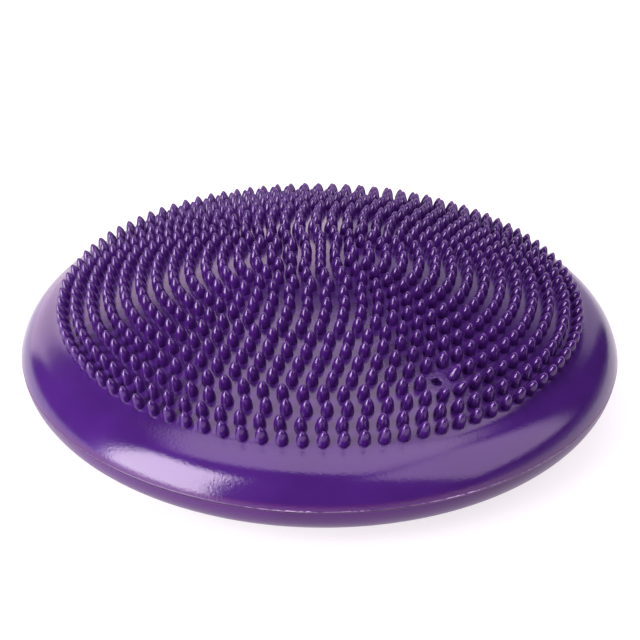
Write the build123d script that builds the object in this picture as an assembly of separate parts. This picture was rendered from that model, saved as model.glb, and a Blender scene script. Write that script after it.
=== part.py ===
"""Inflated balance pad: two PVC half shells welded at the rim, spiked on top.

Frame: +Z up, origin at the centre of the underside, -Y is the front.
All lengths are millimetres and all angles are degrees.
"""
from build123d import *
import os
from math import acos, atan, cos, degrees, radians, sin, sqrt

# ---- driving dimensions ----------------------------------------------------
OUTER_DIAMETER = 330.0      # over the rim seam
SKIN_HEIGHT = 70.0          # floor to the top of the skin, without spikes
SEAM_HEIGHT = 28.0          # floor to the middle of the weld seam
WALL = 3.0                  # PVC wall thickness

SEAM_THICKNESS = 0.6        # the weld ring between the two halves
SEAM_PROUD = 0.4            # how far the weld ring stands out of the skin
SEAM_DEPTH = 4.5            # radial width of the weld ring

DOME_SLOPE = 17.6           # slope of the skin at the last spike ring
SHOULDER_SLOPE = 33.0       # steepest slope, just outside the last spike ring
HOLLOW_SLOPE = 17.0         # slope of the shallow hollow outside the shoulder
RIM_SLOPE = 74.0            # slope at the seam, where the halves meet in a crease
SHOULDER_RADIUS = 24.0      # the last spike ring stands on this round edge
HOLLOW_RADIUS = 10.0
LOWER_RIM_RADIUS = 18.6     # radius of the rim below the seam

RING_PITCH = 9.02           # distance between spike rings, along the skin
LAST_RING_STEP = 7.4        # the last ring stands a little closer
RING_COUNT = 16
SPIKES_PER_RING_STEP = 6    # ring k has this many spikes times k
SPIKE_BASE_RADIUS = 3.0
SPIKE_TIP_RADIUS = 1.8
SPIKE_HEIGHT = 7.5
SPIKE_LEAN = 0.7            # share of the skin's slope: the mould opens upwards

VALVE_RING = 13             # the valve stands in this ring, in place of a spike
VALVE_PLACE = 6             # and in this place, counted from the front
VALVE_HOLE_RADIUS = 2.7     # hole in the skin, over the core
VALVE_BORE_RADIUS = 4.0     # inside of the seat, which the core fills
VALVE_SEAT_RADIUS = 8.0
VALVE_SEAT_DEPTH = 10.0     # depths are below the skin's outer face
VALVE_FLANGE_RADIUS = 6.5
VALVE_CORE_TOP = 3.2        # the core lies just under the skin
VALVE_CORE_DEPTH = 13.0
NEEDLE_RADIUS = 1.1         # needle channel
NEEDLE_DEPTH = 11.0         # the channel is blind: the slit below it seals
NEEDLE_MOUTH_RADIUS = 1.8
NEEDLE_MOUTH_DEPTH = 1.2    # how far the flared mouth goes into the core

FOOT_RADIUS = 50.0          # flat disc that the pad rests on
FOOT_DRAFT = 1.0            # how much wider the disc is at the skin
BELLY_HEIGHT = 0.8          # floor to the lowest point of the belly's round
STUD_PITCH = 14.0           # distance between the rings of studs underneath
STUD_RINGS = range(5, 11)   # ring k lies at k pitches and has 6k studs
STUD_BASE_RADIUS = 3.0
STUD_HEIGHT = 1.6

# Where the first spike of each ring stands, from the front towards +X, as a
# fraction of that ring's spacing. The mould's rings aren't lined up.
RING_OFFSETS = (
    0.00, 0.00, 0.21, 0.50, 0.28, 0.34, 0.22, 0.02,
    0.52, 0.33, 0.94, 0.64, 0.20, 0.40, 0.13, 0.23,
)

# ---- worked out ------------------------------------------------------------
SKIN_RADIUS = OUTER_DIAMETER / 2 - SEAM_PROUD
UPPER_EDGE = SEAM_HEIGHT + SEAM_THICKNESS / 2
LOWER_EDGE = SEAM_HEIGHT - SEAM_THICKNESS / 2
LAST_RING_ARC = RING_PITCH * (RING_COUNT - 1) + LAST_RING_STEP
SHOULDER_TURN = SHOULDER_SLOPE - DOME_SLOPE
SHOULDER_ARC = SHOULDER_RADIUS * radians(SHOULDER_TURN)
DOME_ARC = LAST_RING_ARC - SHOULDER_ARC / 2
DOME_RADIUS = DOME_ARC / radians(DOME_SLOPE)


def after_arc(point, radius, slope_from, slope_to):
    """End of an arc that starts at a point and turns between two slopes.

    Slopes are measured downwards from level. A negative radius is a hollow.
    """
    run = radius * (sin(radians(slope_to)) - sin(radians(slope_from)))
    rise = radius * (cos(radians(slope_to)) - cos(radians(slope_from)))
    return (point[0] + run, point[1] + rise)


def skin_arc(point, radius, slope_from, slope_to):
    """One arc of a skin profile, as an edge, and the point where it ends."""
    middle = after_arc(point, radius, slope_from, (slope_from + slope_to) / 2)
    end = after_arc(point, radius, slope_from, slope_to)
    edge = ThreePointArc((point[0], 0, point[1]), (middle[0], 0, middle[1]), (end[0], 0, end[1]))
    return edge, end


def skin_line(start, end):
    """One straight stretch of a skin profile."""
    return Line((start[0], 0, start[1]), (end[0], 0, end[1]))


def upper_rim():
    """Length of the flat of the hollow and radius of the rim above the seam.

    They close the profile: the rim has to reach the seam at its own slope.
    """
    point = after_arc((0, SKIN_HEIGHT), DOME_RADIUS, 0, DOME_SLOPE)
    point = after_arc(point, SHOULDER_RADIUS, DOME_SLOPE, SHOULDER_SLOPE)
    point = after_arc(point, -HOLLOW_RADIUS, SHOULDER_SLOPE, HOLLOW_SLOPE)
    out = SKIN_RADIUS - point[0]
    down = point[1] - UPPER_EDGE
    s, c = sin(radians(HOLLOW_SLOPE)), cos(radians(HOLLOW_SLOPE))
    radius = (down * c - out * s) / (1 - cos(radians(RIM_SLOPE - HOLLOW_SLOPE)))
    length = (out - radius * (sin(radians(RIM_SLOPE)) - s)) / c
    return length, radius


def upper_profile(inset):
    """Edges of the upper skin from its top to the seam, moved in by inset.

    The last arc stops at the seam's height, a little sooner on the inner face.
    """
    flat, rim_radius = upper_rim()
    last_slope = degrees(acos(rim_radius * cos(radians(RIM_SLOPE)) / (rim_radius - inset)))
    edges = []
    point = (0, SKIN_HEIGHT - inset)
    edge, point = skin_arc(point, DOME_RADIUS - inset, 0, DOME_SLOPE)
    edges.append(edge)
    edge, point = skin_arc(point, SHOULDER_RADIUS - inset, DOME_SLOPE, SHOULDER_SLOPE)
    edges.append(edge)
    edge, point = skin_arc(point, -HOLLOW_RADIUS - inset, SHOULDER_SLOPE, HOLLOW_SLOPE)
    edges.append(edge)
    slope = radians(HOLLOW_SLOPE)
    end = (point[0] + flat * cos(slope), point[1] - flat * sin(slope))
    edges.append(skin_line(point, end))
    edge, point = skin_arc(end, rim_radius - inset, HOLLOW_SLOPE, last_slope)
    edges.append(edge)
    return edges, point


def belly():
    """Slope where the rim meets the belly, and the radius of the belly.

    The belly is part of a ball centred on the pad's axis.
    """
    across = SKIN_RADIUS - LOWER_RIM_RADIUS
    drop = LOWER_EDGE - BELLY_HEIGHT - LOWER_RIM_RADIUS
    slope = 2 * degrees(atan(across / drop))
    return slope, across / sin(radians(slope)) + LOWER_RIM_RADIUS


def belly_height(radius):
    """Height of the belly's outer face at a distance from the axis."""
    ball = belly()[1]
    return BELLY_HEIGHT + ball - sqrt(ball ** 2 - radius ** 2)


def lower_profile(inset):
    """Edges of the lower skin from the seam to its axis, moved in by inset."""
    slope, ball = belly()
    rim, point = skin_arc((SKIN_RADIUS - inset, LOWER_EDGE), LOWER_RIM_RADIUS - inset, 90, slope)
    cap, point = skin_arc(point, ball - inset, slope, 180)
    return [rim, cap], point


def upper_shell():
    outer, seam_out = upper_profile(0)
    inner, seam_in = upper_profile(WALL)
    sides = [
        skin_line(seam_out, seam_in),
        skin_line((0, SKIN_HEIGHT), (0, SKIN_HEIGHT - WALL)),
    ]
    shell = revolve(make_face(outer + inner + sides), Axis.Z)
    return shell - VALVE_PLANE * Cylinder(VALVE_HOLE_RADIUS, 4 * WALL)


def lower_shell():
    outer, bottom = lower_profile(0)
    inner, floor = lower_profile(WALL)
    sides = [
        skin_line((SKIN_RADIUS, LOWER_EDGE), (SKIN_RADIUS - WALL, LOWER_EDGE)),
        skin_line(bottom, floor),
    ]
    shell = revolve(make_face(outer + inner + sides), Axis.Z)
    foot_edge = FOOT_RADIUS + FOOT_DRAFT
    top = belly_height(foot_edge)
    foot = make_face([
        skin_line((0, 0), (FOOT_RADIUS, 0)),
        skin_line((FOOT_RADIUS, 0), (foot_edge, top)),
        skin_line((foot_edge, top), (0, top)),
        skin_line((0, top), (0, 0)),
    ])
    return shell + revolve(foot, Axis.Z)


def rim_seam():
    """The weld ring that joins the halves and stands a little proud."""
    ring = Cylinder(OUTER_DIAMETER / 2, SEAM_THICKNESS)
    ring -= Cylinder(OUTER_DIAMETER / 2 - SEAM_DEPTH, SEAM_THICKNESS)
    return Pos(0, 0, SEAM_HEIGHT) * ring


def skin_place(arc):
    """Radius, height and slope of the upper skin at a length along it."""
    if arc <= DOME_ARC:
        slope = degrees(arc / DOME_RADIUS)
        point = after_arc((0, SKIN_HEIGHT), DOME_RADIUS, 0, slope)
    else:
        slope = DOME_SLOPE + degrees((arc - DOME_ARC) / SHOULDER_RADIUS)
        edge = after_arc((0, SKIN_HEIGHT), DOME_RADIUS, 0, DOME_SLOPE)
        point = after_arc(edge, SHOULDER_RADIUS, DOME_SLOPE, slope)
    return point[0], point[1], slope


def standing(arc, turn, share=1):
    """A plane on the upper skin that leans out by a share of the skin's slope.

    turn goes from the front, -Y, towards +X.
    """
    radius, height, slope = skin_place(arc)
    around = radians(turn)
    lean = radians(slope * share)
    side = (sin(around), -cos(around))
    normal = (sin(lean) * side[0], sin(lean) * side[1], cos(lean))
    level = (cos(around), sin(around), 0)
    return Plane(origin=(radius * side[0], radius * side[1], height), x_dir=level, z_dir=normal)


def spike():
    """A cone that runs into a round tip, with a root to be trimmed off."""
    middle = SPIKE_HEIGHT - SPIKE_TIP_RADIUS
    reach = sqrt(SPIKE_BASE_RADIUS ** 2 + middle ** 2)
    lean = degrees(atan(SPIKE_BASE_RADIUS / middle))
    lean -= degrees(atan(SPIKE_TIP_RADIUS / sqrt(reach ** 2 - SPIKE_TIP_RADIUS ** 2)))
    joint = (SPIKE_TIP_RADIUS * cos(radians(lean)), 0, middle + SPIKE_TIP_RADIUS * sin(radians(lean)))
    half = radians(90 + lean) / 2
    bend = (SPIKE_TIP_RADIUS * sin(half), 0, middle + SPIKE_TIP_RADIUS * cos(half))
    root = -WALL / 2
    outline = [
        Line((0, 0, root), (SPIKE_BASE_RADIUS, 0, root)),
        Line((SPIKE_BASE_RADIUS, 0, root), (SPIKE_BASE_RADIUS, 0, 0)),
        Line((SPIKE_BASE_RADIUS, 0, 0), joint),
        ThreePointArc(joint, bend, (0, 0, SPIKE_HEIGHT)),
        Line((0, 0, SPIKE_HEIGHT), (0, 0, root)),
    ]
    return revolve(make_face(outline), Axis.Z)


def spike_ring(ring, shell):
    """One ring of spikes: one is trimmed to the skin, then copied round."""
    count = SPIKES_PER_RING_STEP * ring
    spacing = 360 / count
    arc = min(ring * RING_PITCH, LAST_RING_ARC)
    first = standing(arc, RING_OFFSETS[ring - 1] * spacing, SPIKE_LEAN) * spike() - shell
    spikes = []
    for place in range(count):
        if (ring, place) == (VALVE_RING, VALVE_PLACE):
            continue
        spikes.append(Rot(0, 0, place * spacing) * first.solid())
    return Compound(spikes)


def valve_seat(shell):
    """The collar inside the skin that grips the core."""
    ring = Cylinder(VALVE_SEAT_RADIUS, VALVE_SEAT_DEPTH, align=(Align.CENTER, Align.CENTER, Align.MAX))
    ring -= Cylinder(VALVE_BORE_RADIUS, 3 * VALVE_SEAT_DEPTH)
    root = Box(4 * VALVE_SEAT_RADIUS, 4 * VALVE_SEAT_RADIUS, WALL)
    return VALVE_PLANE * (ring - root) - shell


def valve_core():
    """The rubber plug: a stem that fills the seat, and a flange behind."""
    down = (Align.CENTER, Align.CENTER, Align.MAX)
    stem = Cylinder(VALVE_BORE_RADIUS, VALVE_CORE_DEPTH - VALVE_CORE_TOP, align=down)
    flange_depth = VALVE_CORE_DEPTH - VALVE_SEAT_DEPTH
    flange = Cylinder(VALVE_FLANGE_RADIUS, flange_depth, align=down)
    flange = Pos(0, 0, VALVE_CORE_TOP - VALVE_SEAT_DEPTH) * flange
    channel = Cylinder(NEEDLE_RADIUS, NEEDLE_DEPTH - VALVE_CORE_TOP, align=down)
    mouth = Cone(NEEDLE_RADIUS, NEEDLE_MOUTH_RADIUS, NEEDLE_MOUTH_DEPTH, align=down)
    return VALVE_PLANE * (Pos(0, 0, -VALVE_CORE_TOP) * (stem + flange - channel - mouth))


def stud():
    """A low round bump, the cap of a ball, hanging down from the origin."""
    ball = (STUD_BASE_RADIUS ** 2 + STUD_HEIGHT ** 2) / (2 * STUD_HEIGHT)
    root = WALL / 2
    half = degrees(atan(STUD_BASE_RADIUS / (ball - STUD_HEIGHT))) / 2
    bend = (ball * sin(radians(half)), 0, ball - STUD_HEIGHT - ball * cos(radians(half)))
    outline = [
        ThreePointArc((0, 0, -STUD_HEIGHT), bend, (STUD_BASE_RADIUS, 0, 0)),
        Line((STUD_BASE_RADIUS, 0, 0), (STUD_BASE_RADIUS, 0, root)),
        Line((STUD_BASE_RADIUS, 0, root), (0, 0, root)),
        Line((0, 0, root), (0, 0, -STUD_HEIGHT)),
    ]
    return revolve(make_face(outline), Axis.Z)


def stud_ring(ring, shell):
    """One ring of studs on the belly of the lower skin."""
    radius = ring * STUD_PITCH
    first = Pos(radius, 0, belly_height(radius)) * stud() - shell
    count = SPIKES_PER_RING_STEP * ring
    return Compound([Rot(0, 0, step * 360 / count) * first.solid() for step in range(count)])


VALVE_TURN = (RING_OFFSETS[VALVE_RING - 1] + VALVE_PLACE) * 360 / (SPIKES_PER_RING_STEP * VALVE_RING)
VALVE_PLANE = standing(VALVE_RING * RING_PITCH, VALVE_TURN)

upper = upper_shell()
lower = lower_shell()
parts = {
    "upper_shell": upper,
    "lower_shell": lower,
    "rim_seam": rim_seam(),
    "valve_seat": valve_seat(upper),
    "valve_core": valve_core(),
    "centre_spike": standing(0, 0) * spike() - upper,
}
for number in range(1, RING_COUNT + 1):
    parts[f"spike_ring_{number:02d}"] = spike_ring(number, upper)
for number, ring in enumerate(STUD_RINGS, start=1):
    parts[f"stud_ring_{number}"] = stud_ring(ring, lower)

os.makedirs("parts", exist_ok=True)
for name, shape in parts.items():
    export_step(shape, f"parts/{name}.step")

print("rim flat and radius", upper_rim())
print("valve at", VALVE_PLANE.origin, "looking along", VALVE_PLANE.z_dir)
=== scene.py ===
# %% [markdown]
# # An inflated balance pad
# The real pad is two shells of soft PVC, welded at the rim and pumped up like a ball.
# The top shell carries rings of soft spikes and a needle valve, the lower one low studs.
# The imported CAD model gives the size, so it is loaded first, and the surfaces below are
# worked out to fit its boxes.

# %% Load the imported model
import math
import bpy
import numpy as np
from mathutils import Matrix, Vector


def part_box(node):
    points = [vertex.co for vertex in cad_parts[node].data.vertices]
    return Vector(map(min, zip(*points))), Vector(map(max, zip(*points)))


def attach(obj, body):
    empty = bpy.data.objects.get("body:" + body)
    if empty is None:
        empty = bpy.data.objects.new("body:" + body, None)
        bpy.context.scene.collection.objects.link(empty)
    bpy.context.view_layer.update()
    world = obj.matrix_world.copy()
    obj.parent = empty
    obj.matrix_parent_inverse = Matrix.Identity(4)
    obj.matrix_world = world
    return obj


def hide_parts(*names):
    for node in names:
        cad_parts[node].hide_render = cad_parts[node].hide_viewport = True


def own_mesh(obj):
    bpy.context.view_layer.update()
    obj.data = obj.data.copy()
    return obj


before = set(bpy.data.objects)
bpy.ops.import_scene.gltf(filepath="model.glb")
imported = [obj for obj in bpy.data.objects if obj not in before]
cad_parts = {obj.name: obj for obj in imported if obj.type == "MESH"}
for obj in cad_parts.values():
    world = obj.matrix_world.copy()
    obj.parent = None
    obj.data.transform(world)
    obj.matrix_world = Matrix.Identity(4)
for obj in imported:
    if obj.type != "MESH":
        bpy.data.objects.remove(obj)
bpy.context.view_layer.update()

# %% [markdown]
# ## Sizes
# Blender works in metres, so a millimetre gets a name. Heights and the rim's radius are
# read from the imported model. The slopes and the ring spacing are the maker's own figures
# for the mould, the same ones that the CAD source uses.

# %% Sizes of the mould
MM = 0.001
SKIN_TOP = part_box("upper_shell")[1].z
SEAM_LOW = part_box("rim_seam")[0].z
SEAM_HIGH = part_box("rim_seam")[1].z
SEAM_MIDDLE = (SEAM_LOW + SEAM_HIGH) / 2
SKIN_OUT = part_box("upper_shell")[1].x
WALL = 3.0 * MM

RING_PITCH = 9.02 * MM
LAST_RING_STEP = 7.4 * MM
RING_COUNT = 16
LAST_RING_ARC = RING_PITCH * (RING_COUNT - 1) + LAST_RING_STEP
STEP_COUNT = 6              # ring k has this many spikes times k
# How far each ring is turned, as a share of the gap between two of its spikes.
RING_OFFSETS = (
    0.00, 0.00, 0.21, 0.50, 0.28, 0.34, 0.22, 0.02,
    0.52, 0.33, 0.94, 0.64, 0.20, 0.40, 0.13, 0.23,
)
SPIKE_HEIGHT = 7.5 * MM
SPIKE_RADIUS = 3.0 * MM
SPIKE_LEAN = 0.7            # share of the skin's slope: the mould opens upwards

DOME_SLOPE = 17.6           # degrees, at the last ring of spikes
SHOULDER_SLOPE = 33.0       # steepest, just outside it
HOLLOW_SLOPE = 17.0         # in the shallow hollow before the rim
RIM_SLOPE = 74.0            # at the seam, where the halves meet in a crease
SHOULDER_RADIUS = 24.0 * MM
HOLLOW_RADIUS = 10.0 * MM
LOWER_RIM_RADIUS = 18.6 * MM
VALVE_RING, VALVE_PLACE = 13, 6
print("skin", SKIN_OUT / MM, "mm in radius,", SKIN_TOP / MM, "mm high")

# %% [markdown]
# ## The section of the skin
# A turned shape is a line swept round an axis. Its line is easiest to describe by its
# slope: level at the top, and nearly upright at the seam. Stretches where the slope grows
# evenly are arcs, and stretches where it stays are straight. Adding up the cosine and
# the sine of the slope along the line gives radius and height. A little averaging of the
# slope rounds the places where one arc meets the next, as a moulded skin has them.

# %% Line of the upper skin
def after_arc(point, radius, slope_from, slope_to):
    """End of an arc: radius times the change of the slope's sine and of its cosine."""
    a, b = math.radians(slope_from), math.radians(slope_to)
    return (point[0] + radius * (math.sin(b) - math.sin(a)),
            point[1] + radius * (math.cos(b) - math.cos(a)))


def rim_closing(point):
    """Straight length and arc radius that reach the seam, from two linear equations.

    The straight and the arc together go out by length times cosine plus radius times
    the change of sine, and down by length times sine plus radius times the change of
    cosine.
    """
    out, down = SKIN_OUT - point[0], point[1] - SEAM_HIGH
    slope, rim = math.radians(HOLLOW_SLOPE), math.radians(RIM_SLOPE)
    sine, cosine = math.sin(slope), math.cos(slope)
    bend = 1 - math.cos(math.radians(RIM_SLOPE - HOLLOW_SLOPE))
    radius = (down * cosine - out * sine) / bend
    return (out - radius * (math.sin(rim) - sine)) / cosine, radius


def walk(lengths, slopes, start, soften=1.2 * MM, steps=6000):
    """Points along a line whose slope is straight-line between the given lengths.

    The slope is averaged over a short window, then radius grows by the cosine of the
    slope and height falls by its sine.
    """
    along = np.linspace(0, lengths[-1], steps)
    slope = np.interp(along, lengths, slopes)
    half = max(1, int(soften / (along[1] - along[0])))
    before = slope[:1] - slope[half:0:-1] + slope[:1]
    after = 2 * slope[-1] - slope[-2:-half - 2:-1]
    padded = np.concatenate([before, slope, after])
    window = np.hanning(2 * half + 1)
    slope = np.convolve(padded, window / window.sum(), mode="valid")
    step = along[1] - along[0]
    middle = np.radians((slope[1:] + slope[:-1]) / 2)
    radius = start[0] + np.concatenate([[0], np.cumsum(np.cos(middle))]) * step
    height = start[1] - np.concatenate([[0], np.cumsum(np.sin(middle))]) * step
    return along, radius, height, slope


shoulder_arc = SHOULDER_RADIUS * math.radians(SHOULDER_SLOPE - DOME_SLOPE)
hollow_arc = HOLLOW_RADIUS * math.radians(SHOULDER_SLOPE - HOLLOW_SLOPE)
dome_arc = LAST_RING_ARC - shoulder_arc / 2
dome_radius = dome_arc / math.radians(DOME_SLOPE)
corner = after_arc((0, SKIN_TOP), dome_radius, 0, DOME_SLOPE)
corner = after_arc(corner, SHOULDER_RADIUS, DOME_SLOPE, SHOULDER_SLOPE)
corner = after_arc(corner, -HOLLOW_RADIUS, SHOULDER_SLOPE, HOLLOW_SLOPE)
rim_flat, rim_radius = rim_closing(corner)
rim_arc = rim_radius * math.radians(RIM_SLOPE - HOLLOW_SLOPE)
UPPER_LENGTHS = np.cumsum([0, dome_arc, shoulder_arc, hollow_arc, rim_flat, rim_arc])
UPPER_SLOPES = [0, DOME_SLOPE, SHOULDER_SLOPE, HOLLOW_SLOPE, HOLLOW_SLOPE, RIM_SLOPE]
UPPER = walk(UPPER_LENGTHS, UPPER_SLOPES, (0, SKIN_TOP))
print("upper line ends at", UPPER[1][-1] / MM, UPPER[2][-1] / MM, "mm")
print("rim radius", rim_radius / MM, "mm")


def on_upper(length):
    """Radius, height and slope in radians at a length along the upper line."""
    along, radius, height, slope = UPPER
    return (np.interp(length, along, radius), np.interp(length, along, height),
            np.radians(np.interp(length, along, slope)))


# %% [markdown]
# ## Meshes from grids
# Every turned surface here is a grid of rows and columns: rows run along the line, and
# columns run round the axis and join up. Quads join neighbours, and a fan to one middle
# point closes each pole.

# %% Helpers for grids
def ring_quads(rows, columns):
    """Quads of a grid whose last column joins its first.

    The order of the corners makes the faces look outwards.
    """
    i, j = np.meshgrid(np.arange(rows - 1), np.arange(columns), indexing="ij")
    near, far = i * columns + j, i * columns + (j + 1) % columns
    corners = np.stack([near, near + columns, far + columns, far], -1)
    return corners.reshape(-1, 4)


def fan(ring_start, columns, middle, outward=True):
    """Triangles from one row of the grid to a middle point, facing out or in."""
    here = ring_start + np.arange(columns)
    there = ring_start + (np.arange(columns) + 1) % columns
    first, second = (here, there) if outward else (there, here)
    return np.stack([first, second, np.full(columns, middle)], -1)


def make_piece(name, points, quads, triangles=(), body="top", finish=None):
    """A smooth mesh piece from arrays of points and faces, riding on its CAD body."""
    mesh = bpy.data.meshes.new(name)
    faces = [tuple(q) for q in np.asarray(quads).tolist()]
    for part in triangles:
        faces += [tuple(t) for t in np.asarray(part).tolist()]
    mesh.from_pydata(np.asarray(points, float).reshape(-1, 3).tolist(), [], faces)
    mesh.polygons.foreach_set("use_smooth", np.ones(len(mesh.polygons), bool))
    mesh.update()
    piece = bpy.data.objects.new(name, mesh)
    bpy.context.scene.collection.objects.link(piece)
    if finish is not None:
        mesh.materials.append(finish)
    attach(piece, body)
    print(name, len(mesh.vertices), "points", len(mesh.polygons), "faces")
    return piece


def crowded(low, high, spacing, centre, width, fine):
    """Stations from low to high that crowd together near a centre.

    The number of stations per length is the usual one plus a bell-shaped extra, and
    equal steps of its running total give the stations.
    """
    fine_steps = np.linspace(low, high, 8000)
    bell = np.exp(-((fine_steps - centre) / width) ** 4)
    density = 1 / spacing + (1 / fine - 1 / spacing) * bell
    gains = (density[1:] + density[:-1]) / 2 * np.diff(fine_steps)
    total = np.concatenate([[0], np.cumsum(gains)])
    count = int(round(total[-1]))
    return np.interp(np.linspace(0, total[-1], count + 1), total, fine_steps)


# %% [markdown]
# ## Finishes
# The pad is one soft PVC all over, glossy, with a fine stipple from the mould that
# breaks up the reflections. A noise bump gives the stipple, and a slower noise varies
# colour and roughness by some ten percent. The shader tints the reflections a little
# towards violet. Real PVC wouldn't do that: it is a choice of look, as is the duller
# lower half. The lower half's redder colour is a painted reflection of the pale table,
# and the spikes' slightly darker copy of the skin's colour is painted shade. A second
# colour takes over where a number from another node says so: at the rim it goes by
# height and paints the table's reflection there, and on the weld by a value stored in
# the mesh.

# %% PVC materials
PVC_IOR = 1.53
SHEEN_TINT = (1.0, 0.84, 1.0, 1)
PATCH_SCALE = 35.0                  # slow noise, in patches per metre or so
PATCH_LOW, PATCH_HIGH = 0.3, 0.7    # the stretch of the noise that is used
DARK_SHARE, LIGHT_SHARE = 0.88, 1.12
SMOOTH_SHARE, ROUGH_SHARE = 0.9, 1.15


def pvc(name, colour, roughness, stipple, stipple_size, gloss=0.5):
    """Soft PVC: colour and roughness from a slow noise, bump from a fine one."""
    material = bpy.data.materials.new(name)
    material.use_nodes = True
    nodes, links = material.node_tree.nodes, material.node_tree.links
    shader = nodes["Principled BSDF"]
    place = nodes.new("ShaderNodeTexCoord")

    slow = nodes.new("ShaderNodeTexNoise")
    slow.inputs["Scale"].default_value = PATCH_SCALE
    slow.inputs["Detail"].default_value = 4.0
    links.new(place.outputs["Object"], slow.inputs["Vector"])
    shade = nodes.new("ShaderNodeValToRGB")
    dark, light = shade.color_ramp.elements
    dark.position, light.position = PATCH_LOW, PATCH_HIGH
    dark.color = [c * DARK_SHARE for c in colour] + [1]
    light.color = [c * LIGHT_SHARE for c in colour] + [1]
    links.new(slow.outputs["Fac"], shade.inputs["Fac"])
    links.new(shade.outputs["Color"], shader.inputs["Base Color"])

    patch = nodes.new("ShaderNodeMapRange")
    patch.inputs["From Min"].default_value = PATCH_LOW
    patch.inputs["From Max"].default_value = PATCH_HIGH
    patch.inputs["To Min"].default_value = roughness * SMOOTH_SHARE
    patch.inputs["To Max"].default_value = roughness * ROUGH_SHARE
    links.new(slow.outputs["Fac"], patch.inputs["Value"])
    links.new(patch.outputs["Result"], shader.inputs["Roughness"])

    grain = nodes.new("ShaderNodeTexNoise")
    grain.inputs["Scale"].default_value = 1.0 / stipple_size
    grain.inputs["Detail"].default_value = 3.0
    grain.inputs["Roughness"].default_value = 0.6
    links.new(place.outputs["Object"], grain.inputs["Vector"])
    bump = nodes.new("ShaderNodeBump")
    bump.inputs["Strength"].default_value = 1.0
    bump.inputs["Distance"].default_value = stipple
    links.new(grain.outputs["Fac"], bump.inputs["Height"])
    links.new(bump.outputs["Normal"], shader.inputs["Normal"])

    shader.inputs["IOR"].default_value = PVC_IOR
    shader.inputs["Specular Tint"].default_value = SHEEN_TINT
    shader.inputs["Specular IOR Level"].default_value = gloss
    return material


def second_colour(material, share, colour):
    """Blend from the noise's colour to a second one as the share goes from 0 to 1.

    On a colour Mix node, inputs 6 and 7 are the two colours and output 2 is the blend.
    """
    nodes, links = material.node_tree.nodes, material.node_tree.links
    base = nodes["Principled BSDF"].inputs["Base Color"]
    mix = nodes.new("ShaderNodeMix")
    mix.data_type = "RGBA"
    links.new(share, mix.inputs[0])
    links.new(base.links[0].from_socket, mix.inputs[6])
    mix.inputs[7].default_value = (*colour, 1)
    links.new(mix.outputs[2], base)


SKIN_COLOUR = (0.037, 0.0080, 0.098)
# The spikes take a slightly darker copy of the skin's colour: painted shade between them.
SPIKE_SHADED_COLOUR = (0.037, 0.0062, 0.097)
# Redder than the skin: a painted reflection of the pale table, used on the lower skin, its
# studs and the weld.
RIM_REFLECTION_COLOUR = (0.050, 0.0085, 0.092)
FLASH_COLOUR = (0.55, 0.36, 0.62)   # thin flash on the weld lets light through
RUBBER_COLOUR = (0.012, 0.006, 0.014)
STIPPLE, STIPPLE_SIZE = 0.070 * MM, 1.2 * MM
skin_pvc = pvc("purple_pvc_stippled", SKIN_COLOUR, 0.13, STIPPLE, STIPPLE_SIZE)
lower_pvc = pvc("purple_pvc_lower", RIM_REFLECTION_COLOUR, 0.30, STIPPLE, STIPPLE_SIZE, gloss=0.27)
shaded_spike_pvc = pvc("purple_pvc_spikes_shaded", SPIKE_SHADED_COLOUR, 0.15, 0.03 * MM, 0.9 * MM)
weld_pvc = pvc("purple_pvc_weld", RIM_REFLECTION_COLOUR, 0.30, 0.05 * MM, 0.8 * MM)
rubber = pvc("valve_rubber", RUBBER_COLOUR, 0.6, 0.05 * MM, 0.5 * MM)

# The last few millimetres above the seam take the lower half's redder colour: a painted
# reflection of the pale table.
RIM_FADE_FROM, RIM_FADE_TO = 3.0 * MM, 2.0 * MM
skin_nodes, skin_links = skin_pvc.node_tree.nodes, skin_pvc.node_tree.links
skin_place = skin_nodes.new("ShaderNodeTexCoord")
skin_parts = skin_nodes.new("ShaderNodeSeparateXYZ")
skin_links.new(skin_place.outputs["Object"], skin_parts.inputs["Vector"])
painted_reflection_band = skin_nodes.new("ShaderNodeMapRange")
painted_reflection_band.inputs["From Min"].default_value = SEAM_HIGH + RIM_FADE_FROM
painted_reflection_band.inputs["From Max"].default_value = SEAM_HIGH + RIM_FADE_TO
skin_links.new(skin_parts.outputs["Z"], painted_reflection_band.inputs["Value"])
second_colour(skin_pvc, painted_reflection_band.outputs["Result"], RIM_REFLECTION_COLOUR)

thin = weld_pvc.node_tree.nodes.new("ShaderNodeAttribute")
thin.attribute_name = "thin"
second_colour(weld_pvc, thin.outputs["Fac"], FLASH_COLOUR)
print("finishes", [m.name for m in (skin_pvc, lower_pvc, shaded_spike_pvc, weld_pvc, rubber)])

# %% [markdown]
# ## The upper skin
# One grid covers the skin from its pole to the seam, turns in at the weld and comes back
# underneath as the inner face, so the piece is a closed shell. Rows and columns crowd
# together at the valve, where the needle hole and its disc need small faces. The
# valve's shape is pushed into the grid along the skin's own outward direction.

# %% Upper skin with the valve moulded in
valve_arc = VALVE_RING * RING_PITCH
valve_step = RING_OFFSETS[VALVE_RING - 1] + VALVE_PLACE
valve_turn = valve_step * 2 * math.pi / (STEP_COUNT * VALVE_RING)
valve_radius = float(on_upper(valve_arc)[0])

# Distance from the hole's middle, and height over the plain skin there: a bore, its
# rounded edge, and a smooth disc that is barely raised.
VALVE_OUT = np.array([0.0, 2.10, 2.20, 2.42, 2.75, 3.30, 6.60, 7.20]) * MM
VALVE_RISE = np.array([-5.0, -5.0, -4.0, -0.06, 0.03, 0.03, 0.05, 0.0]) * MM


def valve_shape(away):
    """Height of the skin over its plain surface at a distance from the needle hole."""
    return np.interp(away, VALVE_OUT, VALVE_RISE)


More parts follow.
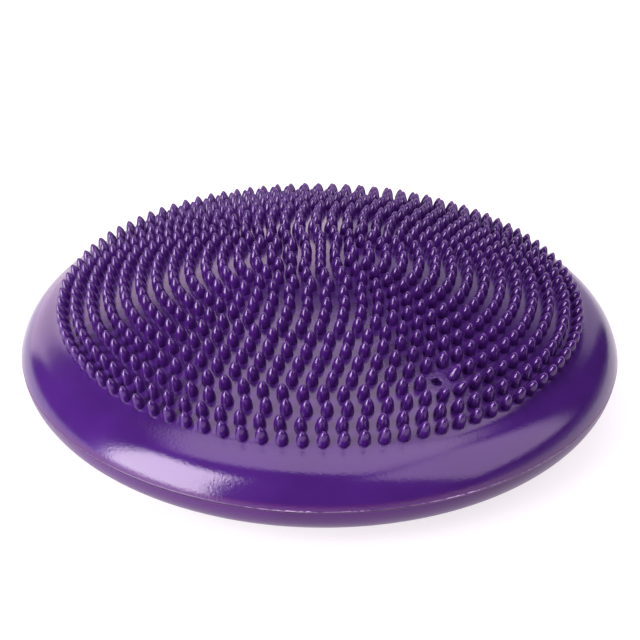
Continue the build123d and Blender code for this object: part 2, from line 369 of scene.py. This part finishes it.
def turned(radius, height, turns):
    """Points of a line swept round the axis; turns go from the front, -Y, towards +X."""
    r, t = np.asarray(radius)[:, None], np.asarray(turns)[None, :]
    z = np.broadcast_to(np.asarray(height)[:, None], (len(radius), len(turns)))
    return np.stack([r * np.sin(t), -r * np.cos(t), z], -1)


def outward(slope, turns):
    """Unit outward direction: the slope's sine sideways and its cosine up."""
    s, t = np.asarray(slope)[:, None], np.asarray(turns)[None, :]
    up = np.broadcast_to(np.cos(s), (len(slope), len(turns)))
    return np.stack([np.sin(s) * np.sin(t), -np.sin(s) * np.cos(t), up], -1)


ROW_STEP = 1.5 * MM
COLUMN_STEP = 2 * math.pi / 330
VALVE_REACH, VALVE_STEP = 5.5 * MM, 0.28 * MM
EDGE_STEP = 0.05 * MM       # a row this close to the edge keeps the shading straight
INNER_ROWS = 40
skin_end = UPPER[0][-1]
upper_rows = crowded(ROW_STEP, skin_end, ROW_STEP, valve_arc, VALVE_REACH, VALVE_STEP)
upper_rows = np.insert(upper_rows, -1, upper_rows[-1] - EDGE_STEP)
upper_turns = crowded(0, 2 * math.pi, COLUMN_STEP, valve_turn,
                      VALVE_REACH / valve_radius, VALVE_STEP / valve_radius)[:-1]
radius, height, slope = on_upper(upper_rows)
points = turned(radius, height, upper_turns)
valve_point = turned([valve_radius], [float(on_upper(valve_arc)[1])], [valve_turn])[0, 0]
away = np.linalg.norm(points - valve_point, axis=-1)
points = points + outward(slope, upper_turns) * valve_shape(away)[..., None]

inner_rows = np.linspace(skin_end - ROW_STEP, ROW_STEP, INNER_ROWS)
inner_radius, inner_height, inner_slope = on_upper(inner_rows)
inner = turned(inner_radius - WALL * np.sin(inner_slope),
               inner_height - WALL * np.cos(inner_slope), upper_turns)
columns = len(upper_turns)
poles = [[0, 0, SKIN_TOP], [0, 0, SKIN_TOP - WALL]]
grid = np.concatenate([points.reshape(-1, 3), inner.reshape(-1, 3), poles])
rows = len(upper_rows) + len(inner_rows)
outer_pole = fan(0, columns, rows * columns)
inner_pole = fan((rows - 1) * columns, columns, rows * columns + 1, outward=False)
upper_skin = make_piece("upper_skin", grid, ring_quads(rows, columns),
                        [outer_pole, inner_pole], body="top", finish=skin_pvc)
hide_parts("upper_shell")

# %% [markdown]
# ## The spikes
# Each spike is a small turned shape: a fat, nearly straight side and a round tip. It
# leans out less than the skin does, because the mould lets go of it straight up.
# Hundreds are needed, so one spike has only a few dozen faces and smooth shading does
# the rest. A ring is one piece. Soft PVC comes out of the mould with tiny differences,
# so each spike leans and stretches by a little seeded chance, and those just to the
# right of the valve lean away from it.

# %% Rings of spikes
SPIKE_SIDES = 10
LEAN_CHANCE = 0.025         # spread of the chance lean, as a slope
HEIGHT_CHANCE = 0.02        # spread of the height, as a share
VALVE_PUSH = 0.55           # extra lean right beside the valve
PUSH_REACH = 13 * MM
# Radius as a share of the foot's, and height as a share of the spike's.
SPIKE_LINE = np.array([
    (1.06, -0.10), (1.03, 0.06), (0.97, 0.30), (0.81, 0.57), (0.53, 0.81), (0.25, 0.95),
])
chance = np.random.default_rng(7)


def spike_points(bases, ups, sides, heights):
    """All spikes of a ring at once.

    A point is the base point, plus the radius times a direction round the spike, plus
    the height along the spike.
    """
    turns = np.arange(SPIKE_SIDES) * 2 * math.pi / SPIKE_SIDES
    across = np.cross(ups, sides)
    ring = (np.cos(turns)[None, :, None] * sides[:, None]
            + np.sin(turns)[None, :, None] * across[:, None])
    lift = (heights[:, None] * SPIKE_LINE[None, :, 1])[:, :, None, None]
    body = (bases[:, None, None]
            + SPIKE_RADIUS * SPIKE_LINE[None, :, None, :1] * ring[:, None]
            + lift * ups[:, None, None])
    tips = bases + heights[:, None] * ups
    return np.concatenate([body.reshape(len(bases), -1, 3), tips[:, None]], 1)


def spike_faces(count):
    """Faces of one spike, repeated: quads up the side, a fan at the tip, a floor."""
    bands = len(SPIKE_LINE)
    size = bands * SPIKE_SIDES + 1
    side = ring_quads(bands, SPIKE_SIDES)[:, ::-1]
    tip = fan((bands - 1) * SPIKE_SIDES, SPIKE_SIDES, bands * SPIKE_SIDES)
    shift = np.arange(count)[:, None, None] * size
    quads = (side[None] + shift).reshape(-1, 4)
    tips = (tip[None] + shift).reshape(-1, 3)
    floors = np.arange(SPIKE_SIDES)[::-1][None] + np.arange(count)[:, None] * size
    return quads, tips, floors


def spikes_on_ring(ring):
    """Turn from the front, foot and direction of each spike of a ring."""
    count = max(1, STEP_COUNT * ring)
    offset = RING_OFFSETS[ring - 1] if ring else 0.0
    turns = (offset + np.arange(count)) * 2 * math.pi / count
    if ring == VALVE_RING:
        turns = np.delete(turns, VALVE_PLACE)
    arc = min(ring * RING_PITCH, LAST_RING_ARC)
    radius, height, slope = (float(x) for x in on_upper(arc))
    bases = turned([radius], [height], turns)[0]
    ups = outward([slope * SPIKE_LEAN], turns)[0]
    return turns, bases, ups


for ring in range(RING_COUNT + 1):
    turns, bases, ups = spikes_on_ring(ring)
    count = len(turns)
    level = np.stack([np.cos(turns), np.sin(turns), np.zeros(count)], -1)
    lean = chance.normal(0, LEAN_CHANCE, (count, 2))
    ups = ups + lean[:, :1] * level + lean[:, 1:] * np.cross(ups, level)
    from_valve = bases - valve_point
    gap = np.linalg.norm(from_valve, axis=-1, keepdims=True)
    push = VALVE_PUSH * np.exp(-(gap / PUSH_REACH) ** 2)
    to_the_right = (from_valve @ level[0] > 0)[:, None]
    ups = ups + push * from_valve / gap * to_the_right
    ups /= np.linalg.norm(ups, axis=-1, keepdims=True)
    sides = level - (level * ups).sum(-1, keepdims=True) * ups
    sides /= np.linalg.norm(sides, axis=-1, keepdims=True)
    heights = SPIKE_HEIGHT * (1 + chance.normal(0, HEIGHT_CHANCE, count))
    quads, tips, floors = spike_faces(count)
    name = "spikes_%02d" % ring if ring else "spike_centre"
    node = "spike_ring_%02d" % ring if ring else "centre_spike"
    points = spike_points(bases, ups, sides, heights)
    piece = make_piece(name, points, quads, [tips, floors],
                       body="top", finish=shaded_spike_pvc)
    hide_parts(node)

# %% [markdown]
# ## The lower skin
# The half below the seam is the same kind of surface: a round rim, then a belly that is
# part of a large ball, and a plain flat disc in the middle that the pad stands on. When
# the pad is pressed it flattens towards the floor.

# %% Lower skin
FOOT_EDGE = 51.0 * MM
BELLY_LOW = 0.8 * MM        # the foot stands this much lower than the ball's surface
RIM_ROWS, BELLY_ROWS, LOWER_COLUMNS = 26, 60, 300
EDGE_SLOPE = 89.85          # a row close to the edge keeps the shading straight
FLOOR_THICKNESS = 4.0 * MM
across = SKIN_OUT - LOWER_RIM_RADIUS
drop = SEAM_LOW - BELLY_LOW - LOWER_RIM_RADIUS
belly_slope = 2 * math.degrees(math.atan(across / drop))
belly_radius = across / math.sin(math.radians(belly_slope)) + LOWER_RIM_RADIUS


def belly_height(distance):
    """Height of a ball's surface at a distance from the axis."""
    return BELLY_LOW + belly_radius - np.sqrt(belly_radius ** 2 - distance ** 2)


rim_slopes = np.insert(np.linspace(90, belly_slope, RIM_ROWS), 1, EDGE_SLOPE)
rim_slopes = np.radians(rim_slopes)
rim_r = SKIN_OUT - LOWER_RIM_RADIUS * (1 - np.sin(rim_slopes))
rim_z = SEAM_LOW + LOWER_RIM_RADIUS * np.cos(rim_slopes)
belly_r = np.linspace(rim_r[-1], FOOT_EDGE, BELLY_ROWS)[1:]
# Radius and height of the foot, from its rounded edge to its flat, in millimetres.
foot_r = np.array([50.6, 50.2, 49.6, 48.9, 30.0, 10.0]) * MM
foot_z = np.array([1.2, 0.55, 0.12, 0.0, 0.0, 0.0]) * MM
line_r = np.concatenate([rim_r, belly_r, foot_r])
line_z = np.concatenate([rim_z, belly_height(belly_r), foot_z])
# Radius and height of the inner face, from the middle out to the seam.
inner_r = np.array([30.0, 90.0, 140.0, 155.0, 160.0, SKIN_OUT / MM - 3.0]) * MM
inner_z = np.array([4.2, 6.5, 11.5, 16.0, 20.0, SEAM_LOW / MM]) * MM
lower_turns = np.linspace(0, 2 * math.pi, LOWER_COLUMNS, endpoint=False)
profile_r = np.concatenate([inner_r, line_r])
profile_z = np.concatenate([inner_z, line_z])
shell = turned(profile_r, profile_z, lower_turns).reshape(-1, 3)
middle = len(shell)
shell = np.concatenate([shell, [[0, 0, FLOOR_THICKNESS], [0, 0, 0]]])
last_row = (len(profile_r) - 1) * LOWER_COLUMNS
inside = fan(0, LOWER_COLUMNS, middle)
underside = fan(last_row, LOWER_COLUMNS, middle + 1, outward=False)
lower_skin = make_piece("lower_skin", shell, ring_quads(len(profile_r), LOWER_COLUMNS),
                        [inside, underside], body="base", finish=lower_pvc)
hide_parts("lower_shell")
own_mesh(lower_skin)

# %% [markdown]
# ## Studs underneath
# Low round bumps, each the cap of a ball: radius falls with the cosine and height grows
# with the sine of an angle from 0 to 90 degrees.

# %% Rings of studs
STUD_PITCH, STUD_RADIUS, STUD_HEIGHT = 14.0 * MM, 3.0 * MM, 1.6 * MM
STUD_ROOT = 0.8 * MM        # how far a stud reaches up into the skin
STUD_SIDES = 10
FIRST_STUD_RING, LAST_STUD_RING = 5, 10
stud_angles = np.radians([0.0, 25.0, 50.0, 72.0])
cap_rows = len(stud_angles)
for number, ring in enumerate(range(FIRST_STUD_RING, LAST_STUD_RING + 1), start=1):
    count = STEP_COUNT * ring
    turns = np.arange(count) * 2 * math.pi / count + math.pi / 2
    centre = turned([ring * STUD_PITCH], [belly_height(ring * STUD_PITCH)], turns)[0]
    around = np.arange(STUD_SIDES) * 2 * math.pi / STUD_SIDES
    reach = STUD_RADIUS * np.cos(stud_angles)
    deep = -STUD_HEIGHT * np.sin(stud_angles)
    depth = np.broadcast_to(deep[:, None], (cap_rows, STUD_SIDES))
    cap = np.stack([reach[:, None] * np.cos(around),
                    reach[:, None] * np.sin(around), depth], -1).reshape(-1, 3)
    root = cap[:STUD_SIDES] + [0, 0, STUD_ROOT]
    one = np.concatenate([root, cap, [[0, 0, -STUD_HEIGHT]]])
    size = len(one)
    shift = np.arange(count)[:, None, None] * size
    quads = (ring_quads(cap_rows + 1, STUD_SIDES)[None] + shift).reshape(-1, 4)
    tip = fan(cap_rows * STUD_SIDES, STUD_SIDES, size - 1, outward=False)
    tips = (tip[None] + shift).reshape(-1, 3)
    tops = np.arange(STUD_SIDES)[None] + np.arange(count)[:, None] * size
    points = centre[:, None] + one[None]
    studs = make_piece("studs_%d" % number, points, quads, [tips, tops],
                       body="base", finish=lower_pvc)
    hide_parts("stud_ring_%d" % number)
    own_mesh(studs)

# %% [markdown]
# ## The weld seam
# The halves are pressed together hot, and a little PVC squeezes out as a thin ragged
# edge, the flash. Most of it is trimmed off, and a few stretches were left on. Each of
# those is a bell-shaped bump along the rim, with a place, a width and a share.
# The seam is a closed ribbon round the rim. It wanders up and down with a sum of slow
# waves, and sharp little tags stand out where the sum of faster waves runs high. Thin
# flash lets light through, so how thin it is gets stored in the mesh as "thin", which
# the weld's finish turns into a paler colour.

# %% Ragged weld edge
SEAM_COLUMNS = 1600
TAG_LEVEL = 0.35            # fast waves above this make a tag
# Places are degrees from the front, towards +X, and widths are degrees too.
LEFT_ON = (
    (-4, 6, 1.0), (6, 2, 0.7), (23, 7, 1.0), (40, 8, 0.45),
    (118, 9, 0.8), (197, 12, 0.7), (262, 8, 0.5),
)
seam_turns = np.linspace(0, 2 * math.pi, SEAM_COLUMNS, endpoint=False)
phase = chance.uniform(0, 2 * math.pi, (3, 9))      # the waves use two of the three rows
slow_waves = sum(np.sin(n * seam_turns + phase[0, n - 2]) / n for n in range(2, 9))
fast_waves = sum(np.sin((17 + 13 * n) * seam_turns + phase[1, n]) for n in range(9)) / 9
tags = np.clip(fast_waves - TAG_LEVEL, 0, None) * 3.0
from_front = np.degrees(seam_turns)


def stretch(place, width, share):
    """Bell-shaped bump round the rim: share times exp(-(angle / width) squared)."""
    return share * np.exp(-(((from_front - place + 180) % 360 - 180) / width) ** 2)


left_on = 0.10 + sum(stretch(*one) for one in LEFT_ON)
rough = chance.normal(0, 1, len(seam_turns))
rough = (rough + np.roll(rough, 1) + 0.5 * np.roll(rough, 2)) / 1.5
# How far the flash stands out, its half thickness and its wander.
proud = (0.05 + left_on * (0.16 + 0.5 * tags + 0.05 * rough)).clip(0.03, 0.9) * MM
thick = (0.10 + 0.10 * left_on * (1 + tags)).clip(0.08, 0.30) * MM
wobble = MM * left_on * (0.16 * slow_waves + 0.22 * rough)
# The ribbon's section: where it stands out, it is a share of how proud and how thick
# the flash is. Inside the rim it is in millimetres and fills the gap between the halves.
section_out = [-1.2, 0.0, 0.75, 1.0, 1.0, 0.75, 0.0, -1.2]
section_up = [0.40, 0.40, 0.90, 0.35, -0.35, -0.90, -0.40, -0.40]
ribbon = []
for out, up in zip(section_out, section_up):
    ring_radius = SKIN_OUT + np.where(out > 0, proud * out, out * MM)
    ring_height = SEAM_MIDDLE + np.where(out > 0, wobble + thick * up, up * MM)
    ribbon.append(np.stack([ring_radius * np.sin(seam_turns),
                            -ring_radius * np.cos(seam_turns), ring_height], -1))
lines = np.arange(len(section_out))
i, j = np.meshgrid(lines, np.arange(SEAM_COLUMNS), indexing="ij")
ahead, beside = (i + 1) % len(lines), (j + 1) % SEAM_COLUMNS
here, there = i * SEAM_COLUMNS, ahead * SEAM_COLUMNS
seam_quads = np.stack([here + j, there + j, there + beside, here + beside], -1)
seam = make_piece("weld_seam", ribbon, seam_quads.reshape(-1, 4),
                  body="top", finish=weld_pvc)
thinness = np.clip(left_on * (0.35 + 0.9 * tags + 0.25 * rough), 0, 1)
sticks_out = np.clip(np.array(section_out), 0, 1)
flash = seam.data.attributes.new("thin", "FLOAT", "POINT")
flash.data.foreach_set("value", (sticks_out[:, None] * thinness).ravel().astype(np.float32))
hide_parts("rim_seam")

# %% [markdown]
# ## Valve pieces inside
# The rubber core and the collar that grips it keep their CAD shapes. Only the core's face
# and its needle channel show, down in the hole, so they get dark matt rubber.

# %% Finish on the CAD nodes that stay
for node, finish in (("valve_core", rubber), ("valve_seat", skin_pvc)):
    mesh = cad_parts[node].data
    mesh.materials.clear()
    mesh.materials.append(finish)
    print(node, "gets", finish.name)

# %% [markdown]
# ## Studio
# A glossy skin shows what stands around it, so most of the pad's look is the studio. The
# white table lights the rim from below. The large soft lamps are placed by what the rim
# mirrors: each lamp shows as a bright patch, and the gaps between lamps as dark bands.
# The table and the lamps are not part of the pad.

# %% Camera, table and lamps
CAMERA_DISTANCE = 0.5741    # metres from the top of the skin
CAMERA_RISE = 26.29         # degrees above it
CAMERA_PITCH = 29.80        # degrees that it looks down
CAMERA_ROLL = 0.65
LENS, SENSOR = 58.69, 36.0
camera_data = bpy.data.cameras.new("camera")
camera = bpy.data.objects.new("camera", camera_data)
bpy.context.scene.collection.objects.link(camera)
bpy.context.scene.camera = camera
angles = (CAMERA_RISE, CAMERA_PITCH, CAMERA_ROLL)
rise, pitch, roll = (math.radians(x) for x in angles)
camera.location = (0, -CAMERA_DISTANCE * math.cos(rise),
                   SKIN_TOP + CAMERA_DISTANCE * math.sin(rise))
camera.rotation_mode = "XYZ"
aim = Matrix.Rotation(math.radians(90) - pitch, 3, "X") @ Matrix.Rotation(roll, 3, "Z")
camera.rotation_euler = aim.to_euler()
camera_data.lens = LENS
camera_data.sensor_width = SENSOR
camera_data.clip_start = 0.01
camera_data.clip_end = 50.0


def plain(name, colour, glow, roughness=0.6):
    """A plain matt finish with a glow of its own, which keeps the table bright."""
    material = bpy.data.materials.new(name)
    material.use_nodes = True
    shader = material.node_tree.nodes["Principled BSDF"]
    shader.inputs["Base Color"].default_value = (*colour, 1)
    shader.inputs["Roughness"].default_value = roughness
    shader.inputs["Emission Color"].default_value = (1.0, 0.96, 0.98, 1)
    shader.inputs["Emission Strength"].default_value = glow
    return material


def stage_plane(name, corners, material):
    """A flat quad that belongs to the stage and is not part of the pad."""
    mesh = bpy.data.meshes.new(name)
    mesh.from_pydata(corners, [], [(0, 1, 2, 3)])
    mesh.materials.append(material)
    plane = bpy.data.objects.new(name, mesh)
    bpy.context.scene.collection.objects.link(plane)


white = plain("white_table", (0.33, 0.32, 0.33), 0.74)
stage_plane("table", [(-4, -4, 0), (4, -4, 0), (4, 4, 0), (-4, 4, 0)], white)
print("camera at", tuple(camera.location), "and a table")


def panel(name, place, target, size, radiance, colour=(1, 1, 1), turn=0):
    """A soft lamp facing a target, turned in its own plane.

    Its power is radiance times its area times pi.
    """
    data = bpy.data.lights.new(name, "AREA")
    data.shape = "RECTANGLE"
    data.size, data.size_y = size
    data.energy = radiance * size[0] * size[1] * math.pi
    data.color = colour
    lamp = bpy.data.objects.new(name, data)
    bpy.context.scene.collection.objects.link(lamp)
    place, target = Vector(place), Vector(target)
    lamp.location = place
    aimed = (target - place).to_track_quat("-Z", "Y").to_matrix()
    lamp.rotation_euler = (aimed @ Matrix.Rotation(math.radians(turn), 3, "Z")).to_euler()


NEAR_WHITE, VIOLET, ROSE = (0.99, 0.98, 1.0), (0.98, 0.86, 1.0), (1.0, 0.83, 0.88)
# Name, place, target, size in metres, radiance, colour, turn in degrees.
panel("key_left", (-0.876, -0.687, 0.62), (-0.11, -0.12, 0.60), (0.74, 1.20),
      12.5, NEAR_WHITE)
panel("dim_right", (1.037, -0.40, 1.044), (0.10, -0.20, 0.10), (1.35, 1.45), 2.7, VIOLET)
panel("low_right", (1.15, 0.00, 0.10), (0.0, 0.00, 0.10), (1.60, 0.16), 0.3, VIOLET)
panel("back_left", (-0.92, 1.40, 0.50), (-0.92, 0.0, 0.50), (2.00, 1.00), 2.25, ROSE)
panel("back_right", (0.68, 1.40, 0.50), (0.68, 0.0, 0.50), (1.16, 1.00), 0.95, VIOLET)
panel("over_front", (-0.052, 0.214, 1.25), (-0.052, 0.214, 0.0), (1.10, 1.14),
      3.0, VIOLET, -18)
panel("over_back", (-0.167, 1.072, 1.27), (-0.167, 1.072, 0.0), (0.90, 0.34),
      3.0, VIOLET, -18)

WORLD_LIGHT = 0.03
world = bpy.data.worlds.new("studio")
world.use_nodes = True
backdrop = world.node_tree.nodes["Background"]
backdrop.inputs["Color"].default_value = (1, 1, 1, 1)
backdrop.inputs["Strength"].default_value = WORLD_LIGHT
bpy.context.scene.world = world
bpy.context.scene.view_settings.view_transform = "Standard"
